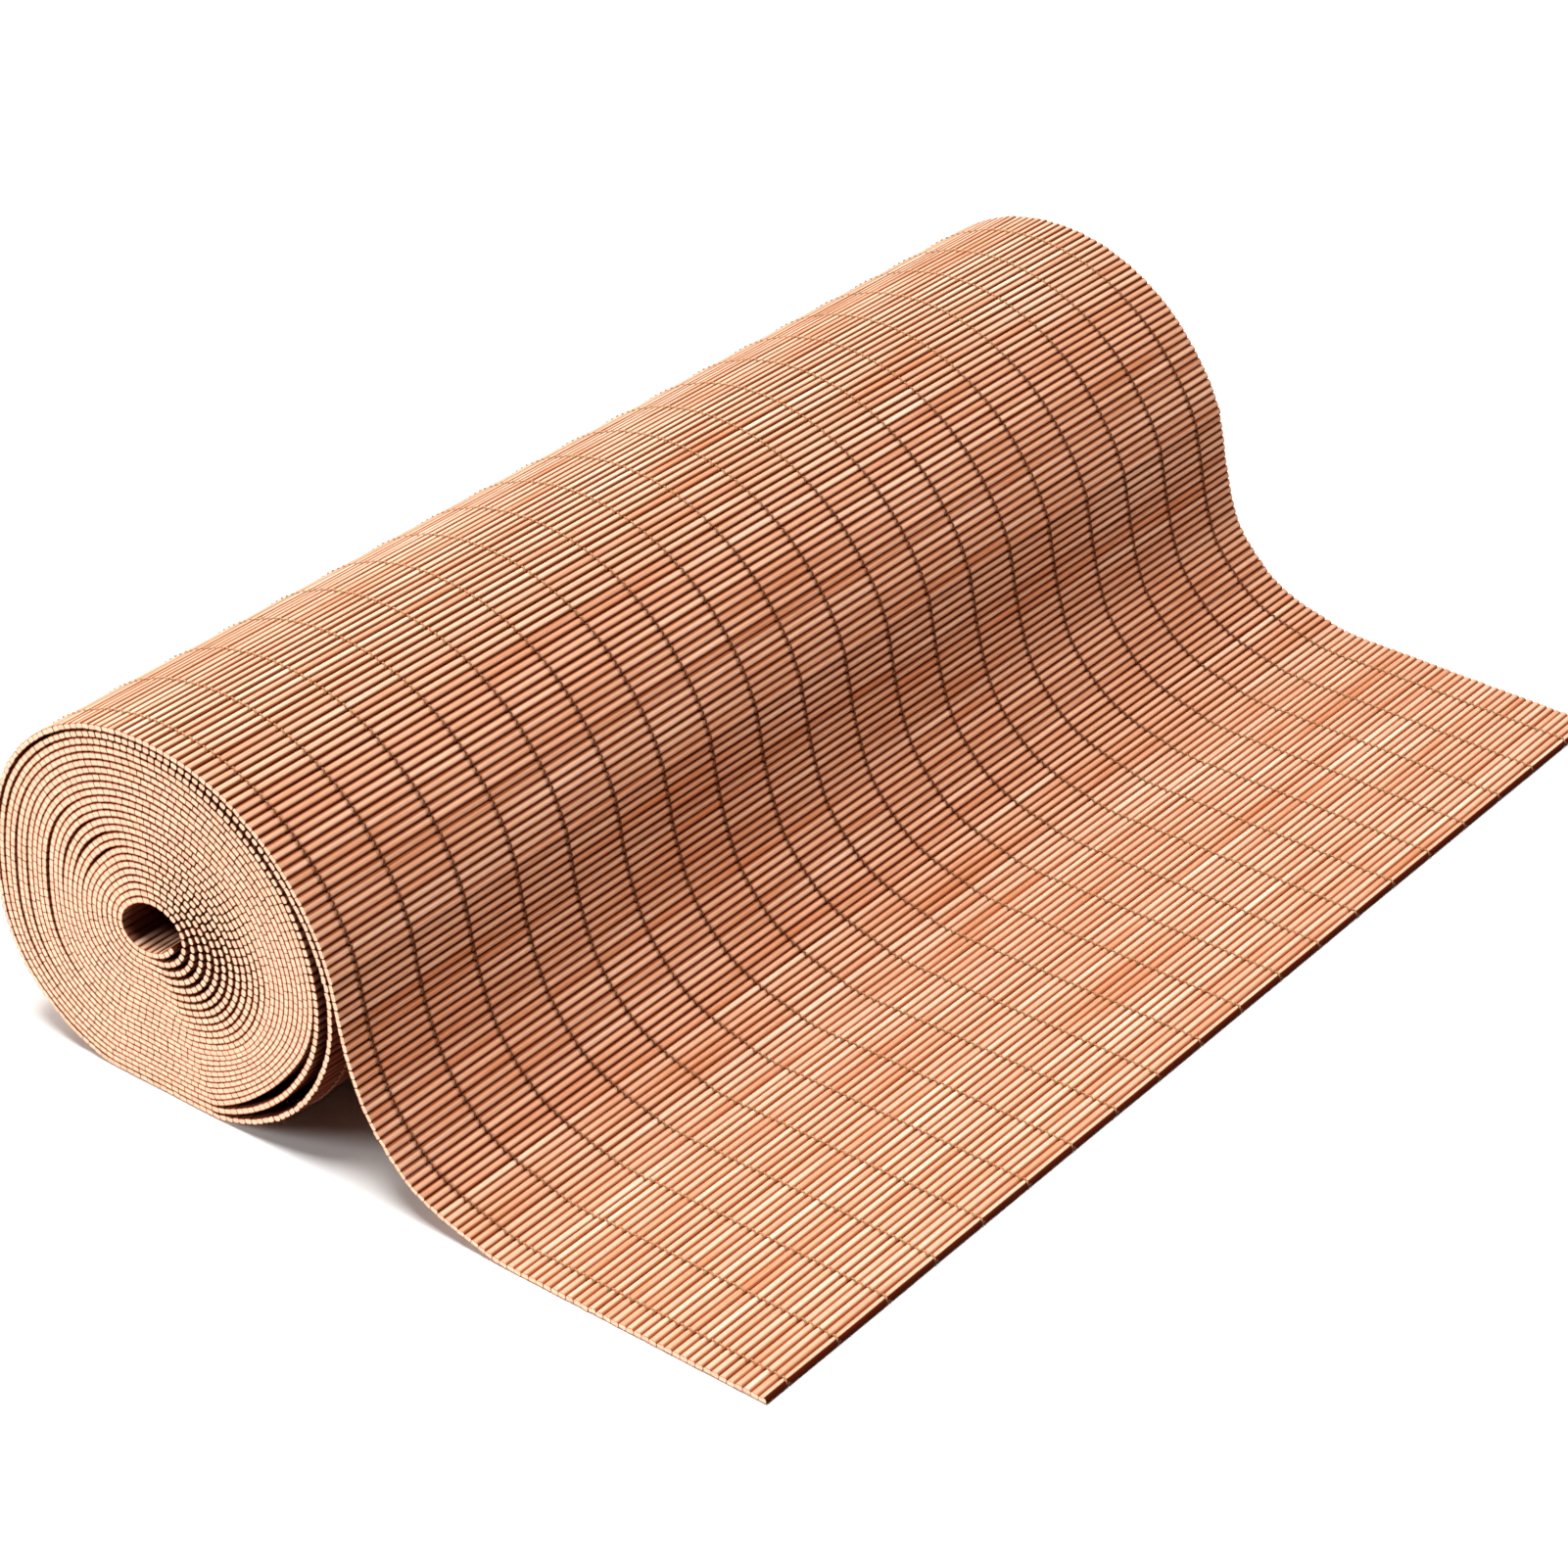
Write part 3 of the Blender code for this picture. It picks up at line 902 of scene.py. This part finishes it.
    # Cut ends with pores and darker rims
    pore_place = scaled(tree, (section[0], section[1], place[2]), PORE_SCALE)
    pore_share = ramp(tree, noise(tree, pore_place, detail=3.0, roughness=0.7), *PORES)
    end_tone = math(tree, "MULTIPLY", own.outputs["Value"], END_CONTRAST)
    cut = mixed(tree, end_tone, given["End"], given["Middle"])
    cut = mixed(tree, math(tree, "MULTIPLY", pore_share, PORE_DARK), cut, given["Pore"])
    rim = math(tree, "MAXIMUM", ramp(tree, math(tree, "ABSOLUTE", section[1]), *RIM_UP),
               ramp(tree, across, *RIM_ACROSS))
    cut = mixed(tree, rim, cut, given["Pore"])
    shown = mixed(tree, section[2], shown, cut)

    # Only the tops are glossy
    roughness = math(tree, "MULTIPLY_ADD", fibre, *FIBRE_ROUGHNESS)
    roughness = math(tree, "MAXIMUM", roughness, math(tree, "MULTIPLY", section[2], END_ROUGHNESS))
    matt = math(tree, "MAXIMUM", math(tree, "MAXIMUM", side, dark), section[2])
    gloss = math(tree, "MULTIPLY", math(tree, "SUBTRACT", 1.0, matt),
                 math(tree, "MULTIPLY_ADD", fibre, *FIBRE_GLOSS))
    height = math(tree, "SUBTRACT", fibre, math(tree, "MULTIPLY", pore_share, section[2]))
    for name, value in (("Color", shown), ("Roughness", roughness), ("Gloss", gloss), ("Height", height)):
        tree.links.new(value, made[name])
    return tree


def finish_material(name, group, values, relief_height, **shader_values):
    """A material whose Principled shader takes what varies from a node group."""
    material = bpy.data.materials.new(name)
    material.use_nodes = True
    tree = material.node_tree
    shader = tree.nodes["Principled BSDF"]
    source = add_node(tree, "ShaderNodeGroup", node_tree=group)
    for key, value in values.items():
        source.inputs[key].default_value = value
    for key, value in shader_values.items():
        shader.inputs[key.replace("_", " ")].default_value = value
    tree.links.new(source.outputs["Color"], shader.inputs["Base Color"])
    tree.links.new(source.outputs["Roughness"], shader.inputs["Roughness"])
    if "Gloss" in source.outputs:
        tree.links.new(source.outputs["Gloss"], shader.inputs["Coat Weight"])
    relief = add_node(tree, "ShaderNodeBump", {
        "Strength": RELIEF_STRENGTH, "Distance": relief_height, "Height": source.outputs["Height"]})
    tree.links.new(relief.outputs["Normal"], shader.inputs["Normal"])
    return material


def bamboo_material(name, **values):
    """Bamboo with some values of its node group set."""
    settings = bpy.context.scene
    group = bpy.data.node_groups.get("Bamboo slats")
    if group is None:
        group = bamboo_group(settings.runner_sizes, settings.runner_colours)
    # The gloss comes from the coat alone, so that the grooves stay dark when seen from low down
    return finish_material(
        name, group, values, FIBRE_RELIEF, Specular_IOR_Level=0.0, Coat_Roughness=COAT_ROUGHNESS)


def thread_group(colours):
    """Colour, roughness and height of the stitching: plies, with painted shade where it dips between slats,
    in the sweep and under the loose end, and painted lighter over slats elsewhere.
    """
    colour, number = "NodeSocketColor", "NodeSocketFloat"
    tree, given, made = new_group(
        "Twisted thread",
        [("Thread", colour, colours.thread), ("Thread in gaps", colour, colours.shaded_thread_in_gaps),
         ("Thread where lit", colour, colours.lit_thread), ("Lit thread in gaps", colour, colours.lit_thread_in_gaps),
         ("Dusky from", number, NEVER)],
        [("Color", colour), ("Roughness", number), ("Height", number)])
    place = split(tree, "mat_place")
    section = split(tree, "in_section")
    twist = math(tree, "MULTIPLY_ADD", place[0], PLY_ALONG, math(tree, "MULTIPLY", section[0], PLY_ROUND))
    ply = math(tree, "MULTIPLY_ADD", math(tree, "SINE", twist), 0.5, 0.5)
    fuzz_place = scaled(tree, (place[0], section[0], place[2]), (FUZZ_ALONG, 1.0, FUZZ_STEP))
    fuzz = noise(tree, fuzz_place, detail=3.0, roughness=0.6)
    # Painted shade where the stitching dips between slats
    on_slat = ramp(tree, math(tree, "ABSOLUTE", section[1]), *ON_SLAT_UP)
    light = math(tree, "MULTIPLY", on_slat, math(tree, "MULTIPLY_ADD", ply, *PLY_LIGHT))
    light = math(tree, "MULTIPLY", light, math(tree, "MULTIPLY_ADD", fuzz, *FUZZ_LIGHT), clamp=True)
    # Painted shadow: the stitching under the loose end is kept dark too
    covered = math(tree, "GREATER_THAN", place[0], given["Dusky from"])
    shaded_share = math(tree, "MAXIMUM", in_sweep(tree, place[0]), covered)
    # Painted shade: dark thread colours in the sweep and under the loose end, painted lighter ones elsewhere
    over_slat = mixed(tree, shaded_share, given["Thread where lit"], given["Thread"])
    between = mixed(tree, shaded_share, given["Lit thread in gaps"], given["Thread in gaps"])
    tree.links.new(mixed(tree, light, between, over_slat), made["Color"])
    tree.links.new(math(tree, "MULTIPLY_ADD", fuzz, *THREAD_ROUGHNESS), made["Roughness"])
    tree.links.new(ply, made["Height"])
    return tree


def thread_material(name, **values):
    """Stitching with some values of its node group set."""
    group = bpy.data.node_groups.get("Twisted thread")
    if group is None:
        group = thread_group(bpy.context.scene.runner_colours)
    return finish_material(name, group, values, PLY_RELIEF, Specular_IOR_Level=THREAD_SPECULAR)


def seat(piece, slot, material, *nodes):
    """Rides the piece on the part's one body, with its material, and hides the solids it stands for. Its slot
    is not used.
    """
    piece.data.materials.append(material)
    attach(piece, BODY)
    if nodes:
        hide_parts(*nodes)


class RUNNER_OT_inner_turns(bpy.types.Operator):
    """Slats of the covered turns, of which the ends show"""

    bl_idname = "runner.inner_turns"
    bl_label = "Inner turns"

    def execute(self, context):
        mat = Mat(context.scene.runner_sizes)
        rings = np.array([NEAR_END, NEAR_END + CHAMFER, FAR_END - CHAMFER, FAR_END])
        half = (mat.shown_slats + mat.slats) // 2
        floor_from, floor_to = (mat.slat_at(360 * (TURNS - 1) + angle) for angle in CORE_FLOOR)
        material = bamboo_material("bamboo_wound", **{
            "Dark inside": INSIDE_DARK, "Core floor from slat": floor_from, "Core floor to slat": floor_to})
        for name, first, last in (("inner_turns", half, mat.slats), ("middle_turns", mat.shown_slats, half)):
            sections, widths = covered_sections(mat, first, last)
            slats = slat_rings(mat, first, last, rings, sections, widths, COVERED_UNEVENNESS)
            piece = stick_mesh(name, *slats, cells=True)
            seat(piece, "wound_roll_bamboo", material, "wound_roll")
        return {"FINISHED"}


class RUNNER_OT_outer_turn(bpy.types.Operator):
    """Slats of the outermost turn, which show whole"""

    bl_idname = "runner.outer_turn"
    bl_label = "Outer turn"

    def execute(self, context):
        mat = Mat(context.scene.runner_sizes)
        rings = ring_places(mat.sizes)
        slats = slat_rings(
            mat, mat.loose_slats, mat.shown_slats, rings, SLAT_SECTION, mat.sizes.slat_width)
        piece = stick_mesh("outer_turn", *slats)
        material = bamboo_material("bamboo_outer", **{
            "Dark underside": UNDERSIDE_DARK, "Dusky from": mat.covered_from()})
        seat(piece, "wound_roll_bamboo", material, "wound_roll")
        return {"FINISHED"}


class RUNNER_OT_loose_end(bpy.types.Operator):
    """Slats of the loose end and its stitching"""

    bl_idname = "runner.loose_end"
    bl_label = "Loose end"

    def execute(self, context):
        mat = Mat(context.scene.runner_sizes)
        rings = ring_places(mat.sizes)
        slats = slat_rings(mat, 0, mat.loose_slats, rings, SLAT_SECTION, mat.sizes.slat_width)
        piece = stick_mesh("loose_slats", *slats)
        seat(piece, "loose_end_bamboo", bamboo_material("bamboo_loose"), "loose_end")
        strands = strand_rings(mat, 0, mat.loose_slats, LOOSE_STRAND_SIDES)
        stitching = stick_mesh("loose_stitching", *strands)
        seat(stitching, "loose_end_bamboo", thread_material("thread_loose"))
        return {"FINISHED"}


class RUNNER_OT_roll_stitching(bpy.types.Operator):
    """Stitching of the outermost turn"""

    bl_idname = "runner.roll_stitching"
    bl_label = "Roll stitching"

    def execute(self, context):
        mat = Mat(context.scene.runner_sizes)
        strands = strand_rings(mat, mat.loose_slats, mat.shown_slats, ROLL_STRAND_SIDES)
        material = thread_material("thread_roll", **{"Dusky from": mat.covered_from()})
        seat(stick_mesh("roll_stitching", *strands), "wound_roll_bamboo", material)
        return {"FINISHED"}


# The camera: its place from the core's middle and the middle of the slats, and its aim
CAMERA_FROM_CORE = (0.49204, -0.61198, 0.48478)
CAMERA_AZIMUTH = 36.667
CAMERA_ELEVATION = 31.783
CAMERA_ROLL = 1.654
FOCAL_LENGTH = 97.66
SENSOR_WIDTH = 36.0
CLIP_START = 0.01

# Round soft lamps, aimed at the part. Azimuth 0 is the near end's side, and 90 the cut end's.
LAMPS = [
    # name, azimuth, elevation, distance, size, power
    ("key", 345.0, 79.0, 1.6, 0.75, 36.5),
    ("left", 325.0, 22.0, 1.8, 0.70, 16.0),
    ("back", 215.0, 42.0, 1.8, 0.90, 11.0),
]
LAMP_COLOUR = (1.0, 0.985, 0.97)
ROOM_LIGHT = 0.05

# The floor lies a hair below the part
FLOOR_SIZE = 8.0
FLOOR_DROP = 0.0002
FLOOR_COLOUR = (0.90, 0.90, 0.90, 1)
FLOOR_ROUGHNESS = 0.9


def aimed(azimuth, elevation, distance, target):
    """A place at an angle and distance from the target, and the turn that looks at it from there."""
    turn, rise = np.radians(azimuth), np.radians(elevation)
    back = Vector((np.sin(turn) * np.cos(rise), -np.cos(turn) * np.cos(rise), np.sin(rise)))
    return target + back * distance, back.to_track_quat("Z", "Y")


class RUNNER_OT_stage(bpy.types.Operator):
    """Pale floor, soft studio light and the camera at the photo's angle"""

    bl_idname = "runner.stage"
    bl_label = "Stage"

    def execute(self, context):
        scene = context.scene
        bpy.ops.mesh.primitive_plane_add(size=FLOOR_SIZE, location=(0, 0, -FLOOR_DROP))
        floor = context.object
        floor.name = "floor"
        pale = bpy.data.materials.new("pale_floor")
        pale.use_nodes = True
        shader = pale.node_tree.nodes["Principled BSDF"]
        shader.inputs["Base Color"].default_value = FLOOR_COLOUR
        shader.inputs["Roughness"].default_value = FLOOR_ROUGHNESS
        floor.data.materials.append(pale)

        target = Vector((CORE_X / 2, 0, CORE_HEIGHT))
        for name, azimuth, elevation, distance, size, power in LAMPS:
            lamp = bpy.data.lights.new(name, "AREA")
            lamp.shape = "DISK"
            lamp.size = size
            lamp.energy = power
            lamp.color = LAMP_COLOUR
            holder = bpy.data.objects.new(name, lamp)
            holder.location, turn = aimed(azimuth, elevation, distance, target)
            holder.rotation_mode = "QUATERNION"
            holder.rotation_quaternion = turn
            scene.collection.objects.link(holder)

        world = bpy.data.worlds.new("soft_room")
        world.use_nodes = True
        background = world.node_tree.nodes["Background"]
        background.inputs["Color"].default_value = (1, 1, 1, 1)
        background.inputs["Strength"].default_value = ROOM_LIGHT
        scene.world = world
        scene.view_settings.view_transform = "Standard"

        camera = bpy.data.cameras.new("camera")
        camera.lens = FOCAL_LENGTH
        camera.sensor_width = SENSOR_WIDTH
        camera.clip_start = CLIP_START
        holder = bpy.data.objects.new("camera", camera)
        scene.collection.objects.link(holder)
        turn, rise, roll = np.radians([CAMERA_AZIMUTH, CAMERA_ELEVATION, CAMERA_ROLL])
        look = Vector((-np.sin(turn) * np.cos(rise), np.cos(turn) * np.cos(rise), -np.sin(rise)))
        right = Vector((np.cos(turn), np.sin(turn), 0))
        up = right.cross(look)
        right, up = right * np.cos(roll) + up * np.sin(roll), up * np.cos(roll) - right * np.sin(roll)
        axes = Matrix((right, up, -look)).transposed().to_4x4()
        middle = Vector((CORE_X, (NEAR_END + FAR_END) / 2, 0))
        holder.matrix_world = Matrix.Translation(middle + Vector(CAMERA_FROM_CORE)) @ axes
        scene.camera = holder
        return {"FINISHED"}


class RUNNER_PT_panel(bpy.types.Panel):
    """Sizes, colours and the steps that build the runner"""

    bl_idname = "RUNNER_PT_panel"
    bl_label = "Bamboo table runner"
    bl_space_type = "VIEW_3D"
    bl_region_type = "UI"
    bl_category = "Runner"

    def draw(self, context):
        for group in (context.scene.runner_sizes, context.scene.runner_colours):
            box = self.layout.box()
            for name in group.bl_rna.properties.keys():
                if name not in ("rna_type", "name"):
                    box.prop(group, name)
        for step in STEPS:
            self.layout.operator(step.bl_idname)


STEPS = (
    RUNNER_OT_inner_turns,
    RUNNER_OT_outer_turn,
    RUNNER_OT_roll_stitching,
    RUNNER_OT_loose_end,
    RUNNER_OT_stage,
)
CLASSES = (RunnerSizes, RunnerColours, *STEPS, RUNNER_PT_panel)


def register():
    for each in CLASSES:
        bpy.utils.register_class(each)
    bpy.types.Scene.runner_sizes = PointerProperty(type=RunnerSizes)
    bpy.types.Scene.runner_colours = PointerProperty(type=RunnerColours)


def unregister():
    del bpy.types.Scene.runner_sizes
    del bpy.types.Scene.runner_colours
    for each in reversed(CLASSES):
        bpy.utils.unregister_class(each)


def main():
    register()
    for step in STEPS:
        group, name = step.bl_idname.split(".")
        getattr(getattr(bpy.ops, group), name)()


if __name__ == "__main__":
    main()
